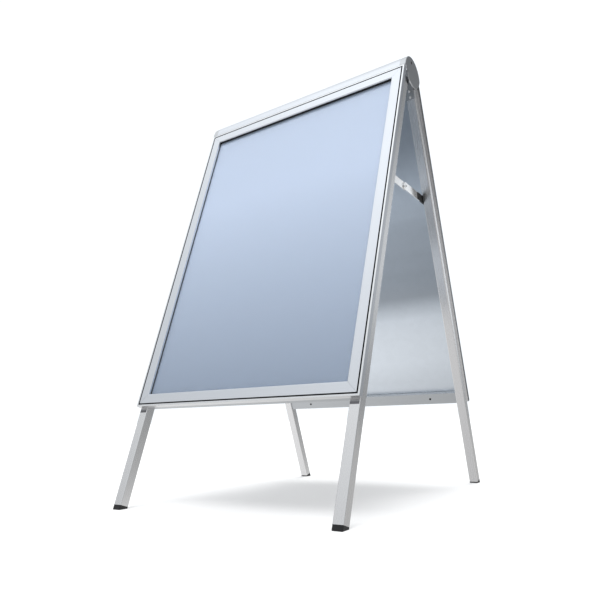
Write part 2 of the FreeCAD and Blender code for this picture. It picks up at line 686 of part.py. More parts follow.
def hinge_leaves(leaf):
    """Two hinge plates on the legs; the front ones carry the outer barrels, the rear ones the middle one."""
    body = new_body(f"{leaf}_hinge_leaves", LEAVES[leaf])
    notch = "pin_up - knuckle_radius - knuckle_gap"
    inner = ("leg_in", "leg_centre - knuckle_half - knuckle_gap")
    middle = ("leg_centre - knuckle_half", "leg_centre + knuckle_half")
    outer = ("leg_centre + knuckle_half + knuckle_gap", "leg_out")
    barrels = (inner, outer) if leaf == "front" else (middle,)
    spans = [across(sign, *span) for sign in SIDES for span in barrels]
    widths = [across(sign, "leg_in", "leg_out") for sign in SIDES]
    tabs = [rectangle(left, "plate_low", right, "pin_up") for left, right in spans]
    plates = [rectangle(left, "plate_low", right, notch) for left, right in widths]
    pad(body, outline(body, "XZ_Plane", "plates", plates, "-leg_back"), "hinge_wall", reverse=True)
    pad(body, outline(body, "XZ_Plane", "tabs", tabs, "-leg_back"), "hinge_wall", reverse=True)
    for index, (left, right) in enumerate(spans):
        disc = outline(body, "YZ_Plane", f"barrel_{index}", [[("pin_in", "pin_up", "knuckle_radius")]], left)
        pad(body, disc, f"({right}) - ({left})")
    bore = outline(body, "YZ_Plane", "bore", [[("pin_in", "pin_up", "pin_radius + pin_clearance")]])
    cut(body, bore, "2 * frame_width")
    holes = clearance_holes(rivet_centres(), "rivet_radius")
    cut(body, outline(body, "XZ_Plane", "holes", holes, "-(leg_back + hinge_wall / 2)"), "2 * hinge_wall")


def hinge_pins():
    body = new_body("hinge_pins", at("0", "0", "pin_z"))
    loops = []
    for sign in SIDES:
        profile = [
            ("leg_in - pin_head", "0"),
            ("leg_out + pin_head", "0"),
            ("leg_out + pin_head", "pin_head_radius"),
            ("leg_out", "pin_head_radius"),
            ("leg_out", "pin_radius"),
            ("leg_in", "pin_radius"),
            ("leg_in", "pin_head_radius"),
            ("leg_in - pin_head", "pin_head_radius"),
        ]
        loops.append([(signed(sign, x), r) for x, r in profile])
    revolve(body, outline(body, "XZ_Plane", "profile", loops))


def hood_section():
    """Arched shell over both frame tops, in the front leaf frame: the outer and the inner run of corners."""
    under_in = "pin_in - under_rise * sin(lean)"
    under_up = "pin_up + under_rise * cos(lean)"
    outer = [
        ("0", "frame_top"),
        ("0", "arch_up", "arch_radius", -1),
        ("apex_in", "apex_up", "hood_radius", -1),
    ]
    inner = [
        ("lip_out_in", "lip_out_up"),
        ("lip_under_in", "lip_under_up", "hood_in", 1),
        (under_in, under_up, "arch_radius - header_wall", 1),
        ("header_wall", "arch_up"),
        ("header_wall", "frame_top + header_wall"),
        ("flange_back", "frame_top + header_wall"),
    ]
    return outer, inner


def header():
    body = new_body("header", LEAVES["front"])
    outer, inner = hood_section()
    flange = [
        ("flange_back", "flange_low"),
        ("profile_depth", "flange_low"),
        ("profile_depth", "frame_top"),
    ]
    section = outline(body, "YZ_Plane", "section", [outer + inner + flange])
    pad(body, section, "2 * header_half", symmetric=True)
    holes = clearance_holes(header_screw_centres(), "screw_radius")
    sketch = outline(body, "XZ_Plane", "holes", holes, "-(profile_depth + header_wall / 2)")
    cut(body, sketch, "2 * header_wall")


def header_screw_centres():
    """Header screws in the front leaf frame."""
    up = "frame_top - header_screw_drop"
    return [(f"({step}) * header_screw_pitch", up) for step in HEADER_SCREW_STEPS]


def header_cap(sign):
    """Moulded end of the header: a sleeve that continues the hood and a plate over the hinge."""
    body = new_body(f"header_{SIDE_NAME[sign]}_cap", LEAVES["front"])
    outer, inner = hood_section()
    sleeve_start, sleeve_end = across(sign, "header_half", "cap_inner")
    ring = outer + inner + [("flange_back", "frame_top")]
    sleeve = outline(body, "YZ_Plane", "sleeve", [ring], sleeve_start)
    pad(body, sleeve, f"({sleeve_end}) - ({sleeve_start})")
    lower = [
        ("lip_out_in", "lip_out_up", "cap_radius", -1),
        ("cap_nose", "frame_top - cap_dip"),
        ("cap_step", "frame_top"),
    ]
    plate_start, plate_end = across(sign, "cap_inner", "cap_outer")
    plate = outline(body, "YZ_Plane", "plate", [outer + lower], plate_start)
    pad(body, plate, f"({plate_end}) - ({plate_start})")
    end = number(signed(sign, "cap_outer"))
    step = number("frame_top + header_wall / 2")
    reach = number("cap_gap")

    def on_arch(edge):
        points = edge.discretize(EDGE_POINTS)
        on_end = all(abs(point.x - end) < reach for point in points)
        return on_end and points[EDGE_POINTS // 2].z > step

    round_edges(body, "cap_round", on_arch)


def stay_pins(leaf):
    """Headed pins through the legs' inner walls; a shoulder on the front pins spaces the stay inward."""
    body = new_body(f"{leaf}_stay_pins", LEAVES[leaf] * at("0", "stay_depth", "stay_level"))
    inside = "leg_in + leg_wall"
    face = f"{leaf}_lane_in - stay_gap"
    profile = [
        (f"{inside} + stay_head", "0"),
        (f"{inside} + stay_head", "stay_head_radius"),
        (inside, "stay_head_radius"),
        (inside, "stay_pin_radius"),
    ]
    if leaf == "front":
        profile += [
            ("leg_in", "stay_pin_radius"),
            ("leg_in", "stay_shoulder"),
            ("front_lane_out + stay_gap", "stay_shoulder"),
            ("front_lane_out + stay_gap", "stay_pin_radius"),
        ]
    profile += [
        (face, "stay_pin_radius"),
        (face, "stay_head_radius"),
        (f"{face} - stay_head", "stay_head_radius"),
        (f"{face} - stay_head", "0"),
    ]
    loops = [[(signed(sign, x), r) for x, r in profile] for sign in SIDES]
    revolve(body, outline(body, "XZ_Plane", "profile", loops))


def stay_link(leaf, sign):
    """Half of a folding stay: a moulded end on the leg's pin and a flat bar that meets its partner midway."""
    towards = LEAF_TURN[leaf]
    name = f"{leaf}_{SIDE_NAME[sign]}_stay"
    pivot = at("0", signed(towards, "stay_y"), "stay_z")
    lane_in = f"{leaf}_lane_in"
    lane_out = f"{leaf}_lane_out"
    # The bar lies on the side of its lane that faces the partner; the moulding's thin tail lies behind it.
    if leaf == "front":
        bar_span = (f"{lane_out} - stay_wall", lane_out)
        tail_span = (lane_in, f"{lane_in} + stay_boss")
    else:
        bar_span = (lane_in, f"{lane_in} + stay_wall")
        tail_span = (f"{lane_out} - stay_boss", lane_out)
    half = "stay_height / 2"
    pegs = ["stay_end_length - stay_lap + stay_peg_edge", "stay_end_length - stay_peg_edge"]

    def along(formula):
        return signed(towards, formula)

    def pad_span(body, sketch_name, loops, span):
        start, end = across(sign, *span)
        pad(body, outline(body, "YZ_Plane", sketch_name, loops, start), f"({end}) - ({start})")

    bar = new_body(name + "_bar", pivot)
    bar_loop = [
        (along("bar_start"), f"-{half}"),
        (along("stay_reach"), f"-{half}", half, towards),
        (along(f"stay_reach + {half}"), "0", half, towards),
        (along("stay_reach"), half),
        (along("bar_start"), half),
    ]
    peg_holes = [[(along(spot), "0", "stay_peg_radius + hole_clearance")] for spot in pegs]
    pad_span(bar, "bar", [bar_loop] + peg_holes, bar_span)
    pad_span(bar, "rivet", [[(along("stay_reach"), "0", "stay_head_radius")]], tail_span)

    end = new_body(name + "_end", pivot)
    root = "stay_end_length - stay_lap"
    end_loop = [
        (along("0"), f"-{half}"),
        (along(root), f"-{half}"),
        (along(root), half),
        (along("0"), half, half, towards),
        (along(f"-{half}"), "0", half, towards),
    ]
    eye = [("0", "0", "stay_pin_radius + stay_pin_clearance")]
    pad_span(end, "end", [end_loop, eye], (lane_in, lane_out))
    low, high = (root, "stay_end_length") if towards > 0 else ("-stay_end_length", f"-({root})")
    pad_span(end, "tail", [rectangle(low, f"-{half}", high, half)], tail_span)
    pad_span(end, "pegs", [[(along(spot), "0", "stay_peg_radius")] for spot in pegs], (lane_in, lane_out))


def build_leaf(leaf):
    side_reach = "(frame_height / 2 - leg_screw_edge)"
    side_holes = [(f"{side_reach} * ({step})", "leg_screw_inset") for step in LEG_SCREW_STEPS]
    bar_inset = "crossbar_rise + bar_screw_rise"
    bottom_holes = [(signed(sign, "bar_screw_pitch / 2"), bar_inset) for sign in SIDES]
    top_holes = [(f"({step}) * header_screw_pitch", "header_screw_drop") for step in HEADER_SCREW_STEPS]
    holes = {
        "left": side_holes,
        "right": side_holes,
        "bottom": bottom_holes,
        "top": top_holes if leaf == "front" else [],
    }
    for side in BARS:
        rail(leaf, side, holes[side])
        flap(leaf, side)
    corner_keys(leaf)
    flap_springs(leaf)
    back_panel(leaf)
    flat_sheet(f"{leaf}_poster", leaf, "paper_back", "paper_thickness")
    flat_sheet(f"{leaf}_clear_sheet", leaf, "cover_back", "cover_thickness")
    for sign in SIDES:
        leg(leaf, sign)
        foot(leaf, sign)
    crossbar(leaf)
    fasteners(f"{leaf}_leg_screws", LEAVES[leaf], leg_screw_centres(), "floor_front",
              "floor_wall + leg_wall + screw_tip", True, SCREW)
    bar_back = "leg_front + crossbar_depth"
    fasteners(f"{leaf}_crossbar_screws", LEAVES[leaf], crossbar_screw_centres(), bar_back,
              "crossbar_depth + floor_wall + screw_tip", False, SCREW)
    hinge_leaves(leaf)
    fasteners(f"{leaf}_hinge_rivets", LEAVES[leaf], rivet_centres(), "leg_back + hinge_wall",
              "hinge_wall + leg_wall + rivet_tip", False, RIVET)
    stay_pins(leaf)
    for sign in SIDES:
        stay_link(leaf, sign)


for leaf in LEAVES:
    build_leaf(leaf)
hinge_pins()
header()
for sign in SIDES:
    header_cap(sign)
fasteners("header_screws", LEAVES["front"], header_screw_centres(), "flange_back",
          "header_wall + floor_wall + screw_tip", False, SCREW)

doc.recompute()
for item in doc.Objects:
    faults = [state for state in item.State if state in ("Invalid", "Error")]
    if faults:
        raise RuntimeError(f"{item.Label}: {faults}")
os.makedirs("parts", exist_ok=True)
for item in sub_parts:
    if item.Shape.isNull() or not item.Shape.isValid():
        raise RuntimeError(f"{item.Label} has no valid shape")
    item.Shape.exportStep(f"parts/{item.Label}.step")
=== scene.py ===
import math

import bmesh
import bpy
from mathutils import Matrix, Vector


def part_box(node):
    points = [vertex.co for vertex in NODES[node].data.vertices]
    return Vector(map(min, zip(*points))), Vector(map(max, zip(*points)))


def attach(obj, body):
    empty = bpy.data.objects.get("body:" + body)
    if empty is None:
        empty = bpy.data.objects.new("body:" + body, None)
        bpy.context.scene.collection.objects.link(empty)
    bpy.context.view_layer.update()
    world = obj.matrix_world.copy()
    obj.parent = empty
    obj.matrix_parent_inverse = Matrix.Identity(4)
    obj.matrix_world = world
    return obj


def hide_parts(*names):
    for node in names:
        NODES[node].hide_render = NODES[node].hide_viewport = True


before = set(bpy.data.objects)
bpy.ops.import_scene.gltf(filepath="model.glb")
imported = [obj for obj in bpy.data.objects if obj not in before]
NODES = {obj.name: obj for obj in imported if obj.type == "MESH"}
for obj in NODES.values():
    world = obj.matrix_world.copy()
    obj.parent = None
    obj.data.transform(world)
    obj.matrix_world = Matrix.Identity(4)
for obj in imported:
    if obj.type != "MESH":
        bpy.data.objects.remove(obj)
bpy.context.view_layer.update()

MM = 0.001

# The leaves lean by this angle from upright; a leaf's bars run across it or up along it.
LEAN = math.radians(19.5)
ACROSS = Vector((1, 0, 0))
DEEP = Vector((0, 1, 0))
UP_LEAF = {
    "front": Vector((0, math.sin(LEAN), math.cos(LEAN))),
    "rear": Vector((0, -math.sin(LEAN), math.cos(LEAN))),
}
LEAF_TURN = {"front": 1, "rear": -1}
HANDS = {"left": -1, "right": 1}
SIDES = ("top", "bottom", "left", "right")
# A leaf's foot line from the middle plane, and its frame's half width, lower and upper edge.
LEAF_FOOT = 426.1193 * MM
FRAME_HALF = 319 * MM
FRAME_LOW = 260 * MM
FRAME_HIGH = 1145 * MM
FRAME_MIDDLE = (FRAME_LOW + FRAME_HIGH) / 2


# The photo's camera: place in metres, angles, focal length and shift in pixels of the square picture.
PICTURE = 600
SENSOR = 36.0
CAMERA_PLACE = Vector((0.8390, -1.3084, 0.2028))
CAMERA_YAW = math.radians(32.61)
CAMERA_PITCH = math.radians(5.26)
CAMERA_ROLL = math.radians(-1.49)
FOCAL = 568.74
SHIFT_RIGHT = 14.9
SHIFT_DOWN = 66.24


def make_camera():
    forward = Vector((
        -math.sin(CAMERA_YAW) * math.cos(CAMERA_PITCH),
        math.cos(CAMERA_YAW) * math.cos(CAMERA_PITCH),
        math.sin(CAMERA_PITCH),
    ))
    level = Vector((math.cos(CAMERA_YAW), math.sin(CAMERA_YAW), 0))
    upright = level.cross(forward)
    right = level * math.cos(CAMERA_ROLL) + upright * math.sin(CAMERA_ROLL)
    up = upright * math.cos(CAMERA_ROLL) - level * math.sin(CAMERA_ROLL)
    data = bpy.data.cameras.new("camera")
    data.sensor_width = SENSOR
    data.lens = FOCAL / PICTURE * SENSOR
    data.shift_x = -SHIFT_RIGHT / PICTURE
    data.shift_y = SHIFT_DOWN / PICTURE
    data.dof.use_dof = False
    camera = bpy.data.objects.new("camera", data)
    turn = Matrix((right, up, -forward)).transposed().to_4x4()
    camera.matrix_world = Matrix.Translation(CAMERA_PLACE) @ turn
    bpy.context.scene.collection.objects.link(camera)
    bpy.context.scene.camera = camera


# Materials


class Shading:
    """The nodes of a material or of the studio, with a few short calls that add to them."""

    def __init__(self, tree):
        self.nodes = tree.nodes
        self.links = tree.links

    def link(self, source, target):
        self.links.new(source, target)

    def coordinates(self, kind):
        return self.nodes.new("ShaderNodeTexCoord").outputs[kind]

    def dot(self, vector, direction):
        """How far a vector reaches along a direction."""
        product = self.nodes.new("ShaderNodeVectorMath")
        product.operation = "DOT_PRODUCT"
        product.inputs[1].default_value = direction
        self.link(vector, product.inputs[0])
        return product.outputs["Value"]

    def combine(self, operation, first, second):
        """The sum or the product of two values."""
        result = self.nodes.new("ShaderNodeMath")
        result.operation = operation
        self.link(first, result.inputs[0])
        self.link(second, result.inputs[1])
        return result.outputs["Value"]

    def span(self, value, low, high, start=0.0, end=1.0, easing="LINEAR"):
        """A value mapped from start..end to low..high."""
        mapped = self.nodes.new("ShaderNodeMapRange")
        mapped.interpolation_type = easing
        mapped.inputs["From Min"].default_value = start
        mapped.inputs["From Max"].default_value = end
        mapped.inputs["To Min"].default_value = low
        mapped.inputs["To Max"].default_value = high
        self.link(value, mapped.inputs["Value"])
        return mapped.outputs["Result"]

    def grade(self, share, stops):
        """Levels of grey at stops, with the share going from 0 at the first stop to 1 at the last."""
        low, high = stops[0][0], stops[-1][0]
        ramp = self.nodes.new("ShaderNodeValToRGB")
        self.link(share, ramp.inputs["Fac"])
        elements = ramp.color_ramp.elements
        while len(elements) < len(stops):
            elements.new(1.0)
        for element, (spot, level) in zip(elements, stops):
            element.position = (spot - low) / (high - low)
            element.color = (level, level, level, 1)
        return ramp.outputs["Color"]


class Surface(Shading):
    """A material and the calls for its textures."""

    def __init__(self, name, colour, roughness, metallic=0.0):
        self.material = bpy.data.materials.new(name)
        self.material.use_nodes = True
        super().__init__(self.material.node_tree)
        self.shader = self.nodes["Principled BSDF"]
        self.shader.inputs["Base Color"].default_value = (*colour, 1)
        self.shader.inputs["Roughness"].default_value = roughness
        self.shader.inputs["Metallic"].default_value = metallic
        self.colour = colour
        self.roughness = roughness

    def place(self, along=ACROSS, stretch=1.0):
        """Object coordinates turned so that X runs along a direction, drawn out along it."""
        mapping = self.nodes.new("ShaderNodeMapping")
        mapping.inputs["Rotation"].default_value = along.rotation_difference(ACROSS).to_euler()
        spread = self.nodes.new("ShaderNodeMapping")
        spread.inputs["Scale"].default_value = (1 / stretch, 1, 1)
        self.link(self.coordinates("Object"), mapping.inputs["Vector"])
        self.link(mapping.outputs["Vector"], spread.inputs["Vector"])
        return spread.outputs["Vector"]

    def noise(self, place, scale, detail=2.0):
        texture = self.nodes.new("ShaderNodeTexNoise")
        texture.inputs["Scale"].default_value = scale
        texture.inputs["Detail"].default_value = detail
        self.link(place, texture.inputs["Vector"])
        return texture.outputs["Fac"]

    def climb(self, up, low, high):
        """0 to 1 between two heights, measured up along a leaf from its foot line."""
        foot = -LEAF_FOOT * math.sin(LEAN)
        return self.span(self.dot(self.coordinates("Object"), up), 0, 1, foot + low, foot + high)

    def facing(self, direction, cosines):
        """How far the piece's own surface faces a direction: 0 to 1 between two cosines."""
        return self.span(self.dot(self.coordinates("Normal"), direction), 0, 1, *cosines)

    def blend(self, value, first, second):
        """A colour between two, each fixed or from a texture, by a value from 0 to 1."""
        mix = self.nodes.new("ShaderNodeMix")
        mix.data_type = "RGBA"
        sockets = [socket for socket in mix.inputs if socket.type == "RGBA"]
        for socket, colour in zip(sockets, (first, second)):
            if isinstance(colour, tuple):
                socket.default_value = (*colour, 1)
            else:
                self.link(colour, socket)
        self.link(value, mix.inputs["Factor"])
        return [socket for socket in mix.outputs if socket.type == "RGBA"][0]

    def paint(self, colour):
        self.link(colour, self.shader.inputs["Base Color"])

    def vary_colour(self, value, amount):
        """Lighter and darker by the given share; returns the colour, for more layers over it."""
        darker = tuple(channel * (1 - amount) for channel in self.colour)
        lighter = tuple(min(channel * (1 + amount), 1) for channel in self.colour)
        colour = self.blend(value, darker, lighter)
        self.paint(colour)
        return colour

    def vary_roughness(self, value, amount):
        spread = self.span(value, self.roughness - amount, self.roughness + amount)
        self.link(spread, self.shader.inputs["Roughness"])

    def bump(self, value, depth):
        """Relief with the given depth in metres."""
        node = self.nodes.new("ShaderNodeBump")
        node.inputs["Distance"].default_value = depth
        self.link(value, node.inputs["Height"])
        self.link(node.outputs["Normal"], self.shader.inputs["Normal"])


# Painted shadow: a dark band on the legs' fronts right under the frame, where the frame shades them.
UNDER_FRAME_SHADOW_COLOUR = (0.19, 0.185, 0.195)
UNDER_FRAME_SHADOW_TOP_COLOUR = (0.66, 0.655, 0.66)
SHADOWED_FACES = (0.9, 0.97)
# Heights up the leaf between which the painted shadow sets in, and between which it pales.
SHADOW_EDGE = (246.8 * MM, 248 * MM)
SHADOW_PALING = (252 * MM, FRAME_LOW - 0.5 * MM)


def extrusion(name, along, colour, roughness, shade_zones=(), under_frame_shadow=None):
    """Satin anodised aluminium: fine die lines along the bar and a faint cloud across it.

    A shade zone is a direction, the colour of the faces that look that way and the cosines between
    which it sets in; its colour is painted shade, or painted light where it is lighter. The
    under-frame shadow, painted shadow, is given as the direction of the faces that it lies on.
    """
    surface = Surface(name, colour, roughness, metallic=1.0)
    lines = surface.noise(surface.place(along, stretch=60), scale=900, detail=3)
    cloud = surface.noise(surface.place(along, stretch=4), scale=14)
    tone = surface.vary_colour(cloud, amount=0.03)
    for direction, shade_colour, cosines in shade_zones:
        tone = surface.blend(surface.facing(direction, cosines), tone, shade_colour)
    # Painted shadow under the frame, on the legs' fronts.
    if under_frame_shadow is not None:
        shadow_tone = surface.blend(surface.climb(along, *SHADOW_PALING), UNDER_FRAME_SHADOW_COLOUR, UNDER_FRAME_SHADOW_TOP_COLOUR)
        height = surface.climb(along, *SHADOW_EDGE)
        share = surface.combine("MULTIPLY", height, surface.facing(under_frame_shadow, SHADOWED_FACES))
        tone = surface.blend(share, tone, shadow_tone)
    surface.paint(tone)
    surface.vary_roughness(lines, amount=0.07)
    surface.bump(lines, depth=0.03 * MM)
    return surface.material


SHEET_COLOUR = (0.80, 0.86, 0.93)
# Painted reflection: mirrored bands on the rear sheet are painted in as tones:
# height up the leaf in metres, and the share of the sheet's brightness that is left there.
SHEET_REFLECTION_TONES = (
    (0.33, 0.88),
    (0.39, 0.97),
    (0.52, 0.98),
    (0.55, 0.83),
    (0.585, 0.57),
    (0.65, 0.545),
    (0.70, 0.61),
    (0.75, 0.79),
    (0.81, 0.98),
    (0.86, 0.88),
    (0.92, 0.74),
    (1.00, 0.67),
)
SHEET_REFLECTION_REACH = (SHEET_REFLECTION_TONES[0][0], SHEET_REFLECTION_TONES[-1][0])
SPANGLE_SCALE = 70


def sheet_steel(name, up):
    """Galvanised sheet: faint spangle, with painted reflection in darker bands."""
    surface = Surface(name, SHEET_COLOUR, roughness=0.30, metallic=1.0)
    spangle = surface.nodes.new("ShaderNodeTexVoronoi")
    spangle.inputs["Scale"].default_value = SPANGLE_SCALE
    surface.link(surface.place(), spangle.inputs["Vector"])
    tone = surface.nodes.new("ShaderNodeSeparateColor")
    surface.link(spangle.outputs["Color"], tone.inputs["Color"])
    bright = surface.vary_colour(tone.outputs["Red"], amount=0.012)
    painted_reflection = surface.grade(surface.climb(up, *SHEET_REFLECTION_REACH), SHEET_REFLECTION_TONES)
    surface.paint(surface.blend(painted_reflection, (0, 0, 0), bright))
    surface.vary_roughness(tone.outputs["Green"], amount=0.015)
    surface.bump(surface.noise(surface.place(), scale=5, detail=0), depth=0.8 * MM)
    return surface.material


def plated_steel(name, colour):
    """Plated fasteners and hinges."""
    surface = Surface(name, colour, roughness=0.30, metallic=1.0)
    grain = surface.noise(surface.place(), scale=600)
    surface.vary_colour(grain, amount=0.06)
    surface.vary_roughness(grain, amount=0.1)
    return surface.material


BLACK_COLOUR = (0.007, 0.007, 0.008)


def black_moulding(name):
    """Spark-eroded moulded plastic."""
    surface = Surface(name, BLACK_COLOUR, roughness=0.45)
    grain = surface.noise(surface.place(), scale=1400, detail=3)
    surface.vary_colour(surface.noise(surface.place(), scale=90), amount=0.05)
    surface.vary_roughness(grain, amount=0.08)
    surface.bump(grain, depth=0.12 * MM)
    return surface.material


CAP_COLOUR = (0.72, 0.73, 0.74)
# Painted shade: the caps' end faces are painted greyer than their fronts.
CAP_END_SHADE_COLOUR = (0.34, 0.35, 0.36)
CAP_END_SHADE_FACES = (0.75, 0.95)


def silver_moulding(name):
    """Moulding under a silver lacquer: soft metallic sheen with a fine grain, and painted shade that greys
    the ends.
    """
    surface = Surface(name, CAP_COLOUR, roughness=0.40, metallic=0.9)
    grain = surface.noise(surface.place(), scale=1400, detail=3)
    tone = surface.vary_colour(surface.noise(surface.place(), scale=60), amount=0.04)
    for end in (ACROSS, -ACROSS):
        tone = surface.blend(surface.facing(end, CAP_END_SHADE_FACES), tone, CAP_END_SHADE_COLOUR)
    surface.paint(tone)
    surface.vary_roughness(grain, amount=0.06)
    surface.bump(grain, depth=0.04 * MM)
    return surface.material


# Painted shade: the paper runs from its own colour at the top to a shaded colour at the foot.
PAPER_TOP = (0.528, 0.637, 0.822)
PAPER_SHADED_COLOUR = (0.150, 0.218, 0.326)
# Heights up the leaf between which the painted shade fades out, and the share of the fibre in it.
PAPER_SHADE_REACH = (0.29, 0.87)
FIBRE_SHARE = 0.02
COAT_WEIGHT = 0.6
COAT_ROUGHNESS = 0.12


def paper(name, up):
    """Blank insert with painted shade that deepens towards the foot."""
    surface = Surface(name, PAPER_TOP, roughness=0.5)
    fibre = surface.span(surface.noise(surface.place(), scale=700), 0, FIBRE_SHARE)
    shade_share = surface.combine("ADD", fibre, surface.climb(up, *PAPER_SHADE_REACH))
    surface.paint(surface.blend(shade_share, PAPER_SHADED_COLOUR, PAPER_TOP))
    surface.shader.inputs["Coat Weight"].default_value = COAT_WEIGHT
    surface.shader.inputs["Coat Roughness"].default_value = COAT_ROUGHNESS
    return surface.material


COVER_COLOUR = (0.95, 0.97, 1.0)
COVER_ALPHA = 0.08


def clear_cover(name):
    """Clear sheet with a faint haze."""
    surface = Surface(name, COVER_COLOUR, roughness=0.12)
    surface.shader.inputs["Alpha"].default_value = COVER_ALPHA
    surface.vary_roughness(surface.noise(surface.place(), scale=25), amount=0.03)
    return surface.material


def dull(name, colour):
    """Matt rubber or dark metal; the dark metal also lines holes as painted shade."""
    surface = Surface(name, colour, roughness=0.6)
    grain = surface.noise(surface.place(), scale=900)
    surface.vary_colour(grain, amount=0.2)
    surface.vary_roughness(grain, amount=0.1)
    return surface.material


def dress(name, material):
    slots = NODES[name].data.materials
    slots.clear()
    slots.append(material)


PROFILE_COLOUR = (0.867, 0.887, 0.922)
PROFILE_ROUGHNESS = 0.36
# The rails are painted lighter than the flaps, as a painted highlight on their rounded rims.
RAIL_LIT_COLOUR = (0.95, 0.955, 0.96)
# The sides of the rails are painted darker as painted shade, far darker on the rear leaf than on the
# front, and the bottom rail's underside a little darker; the walls of the joint beside a flap are
# painted near black, as painted shade in the groove.
RAIL_SIDE_SHADE_COLOURS = {"front": (0.55, 0.57, 0.60), "rear": (0.09, 0.092, 0.095)}
RAIL_FOOT_SHADE_COLOUR = (0.74, 0.75, 0.76)
JOINT_SHADE_COLOUR = (0.006, 0.006, 0.008)
TUBE_COLOUR = (0.975, 0.96, 0.955)
# The legs' sides and backs are painted darker than their fronts, as painted shade.
TUBE_SIDE_SHADE_COLOUR = (0.66, 0.66, 0.665)
TUBE_BACK_SHADE_COLOUR = (0.77, 0.77, 0.78)
CHANNEL_COLOUR = (0.53, 0.55, 0.57)
# The crossbar's top faces are painted lighter than the rest, as painted light.
CHANNEL_TOP_LIGHT_COLOUR = (0.97, 0.97, 0.97)
STRIP_COLOUR = (0.97, 0.97, 0.97)
STEEL_COLOUR = (0.50, 0.51, 0.52)
RIVET_COLOUR = (0.96, 0.96, 0.95)
# Dark screws; the same colour on the walls of holes is painted shade.
DARK_SCREW_AND_HOLE_SHADE_COLOUR = (0.02, 0.02, 0.022)
# Cosines between which the colour of a zone of painted shade or painted light sets in.
SQUARE_FACES = (0.7, 0.95)
RAIL_SIDE_FACES = (0.6, 0.85)
RAIL_JOINT_SHADE_FACES = (0.2, 0.5)
FLAP_JOINT_SHADE_FACES = (0.12, 0.4)
STEEL_PARTS = ("flap_springs", "leg_screws", "crossbar_screws", "hinge_leaves", "hinge_rivets", "stay_pins")


def dress_profiles(leaf):
    """The rails and flaps of a leaf's frame, each with its lines along its own run."""
    up = UP_LEAF[leaf]
    runs = {"top": (ACROSS, up), "bottom": (ACROSS, -up), "left": (up, -ACROSS), "right": (up, ACROSS)}
    for side, (along, outward) in runs.items():
        name = f"{leaf}_{side}"
        side_shade = RAIL_FOOT_SHADE_COLOUR if side == "bottom" else RAIL_SIDE_SHADE_COLOURS[leaf]
        rail_shade_zones = (
            (outward, side_shade, RAIL_SIDE_FACES),
            (-outward, JOINT_SHADE_COLOUR, RAIL_JOINT_SHADE_FACES),
        )
        flap_shade_zones = ((outward, JOINT_SHADE_COLOUR, FLAP_JOINT_SHADE_FACES),)
        rail = extrusion(f"rail_{name}", along, RAIL_LIT_COLOUR, roughness=0.34, shade_zones=rail_shade_zones)
        flap = extrusion(f"flap_{name}", along, PROFILE_COLOUR, PROFILE_ROUGHNESS, flap_shade_zones)
        dress(f"{name}_rail", rail)
        dress(f"{name}_flap", flap)


def dress_nodes():
    """Every CAD node gets its material, also where a piece of the scene stands for it."""
    steel = plated_steel("plated_steel", STEEL_COLOUR)
    black = black_moulding("black_moulding")
    silver = silver_moulding("silver_moulding")
    strip = extrusion("stay_strip", DEEP, STRIP_COLOUR, roughness=0.18)
    cover = clear_cover("clear_cover")
    for leaf, up in UP_LEAF.items():
        inward = up.cross(ACROSS) * LEAF_TURN[leaf]
        tube_shade_zones = (
            (ACROSS, TUBE_SIDE_SHADE_COLOUR, SQUARE_FACES),
            (-ACROSS, TUBE_SIDE_SHADE_COLOUR, SQUARE_FACES),
            (inward, TUBE_BACK_SHADE_COLOUR, SQUARE_FACES),
        )
        channel_light_zones = ((up, CHANNEL_TOP_LIGHT_COLOUR, SQUARE_FACES),)
        tube = extrusion(f"tube_{leaf}", up, TUBE_COLOUR, roughness=0.26, shade_zones=tube_shade_zones, under_frame_shadow=-inward)
        channel = extrusion(f"channel_{leaf}", ACROSS, CHANNEL_COLOUR, roughness=0.40, shade_zones=channel_light_zones)
        dress_profiles(leaf)
        for side in HANDS:
            dress(f"{leaf}_{side}_leg", tube)
            dress(f"{leaf}_{side}_foot", black)
            dress(f"{leaf}_{side}_stay_bar", strip)
            dress(f"{leaf}_{side}_stay_end", black)
        for part in STEEL_PARTS:
            dress(f"{leaf}_{part}", steel)
        dress(f"{leaf}_crossbar", channel)
        dress(f"{leaf}_corner_keys", black)
        dress(f"{leaf}_back_panel", sheet_steel(f"galvanised_{leaf}", up))
        dress(f"{leaf}_poster", paper(f"poster_{leaf}", up))
        dress(f"{leaf}_clear_sheet", cover)
    dress("header", extrusion("profile_level", ACROSS, PROFILE_COLOUR, PROFILE_ROUGHNESS))
    for side in HANDS:
        dress(f"header_{side}_cap", silver)
    for part in ("hinge_pins", "header_screws"):
        dress(part, steel)


# Added pieces

OTHER_SIDE = {"left": "right", "right": "left", "top": "top", "bottom": "bottom"}
SHARP_ANGLE = math.radians(35)


def leaf_place(leaf):
    """A leaf's own frame: X across, Y inward from its front face, Z up along it from the floor line."""
    turn = LEAF_TURN[leaf]
    across = Vector((turn, 0, 0))
    deep = Vector((0, turn * math.cos(LEAN), -math.sin(LEAN)))
    place = Matrix((across, deep, UP_LEAF[leaf])).transposed().to_4x4()
    place.translation = Vector((0, -turn * LEAF_FOOT, 0))
    return place


def bar_place(leaf, side):
    """A bar's own frame: X along it, Y inward, Z from the frame's outer edge towards the window."""
    origin, angle = {
        "bottom": ((0, 0, FRAME_LOW), 0),
        "right": ((FRAME_HALF, 0, FRAME_MIDDLE), -90),
        "top": ((0, 0, FRAME_HIGH), 180),
        "left": ((-FRAME_HALF, 0, FRAME_MIDDLE), 90),
    }[side]
    turn = Matrix.Rotation(math.radians(angle), 4, "Y")
    return leaf_place(leaf) @ Matrix.Translation(origin) @ turn


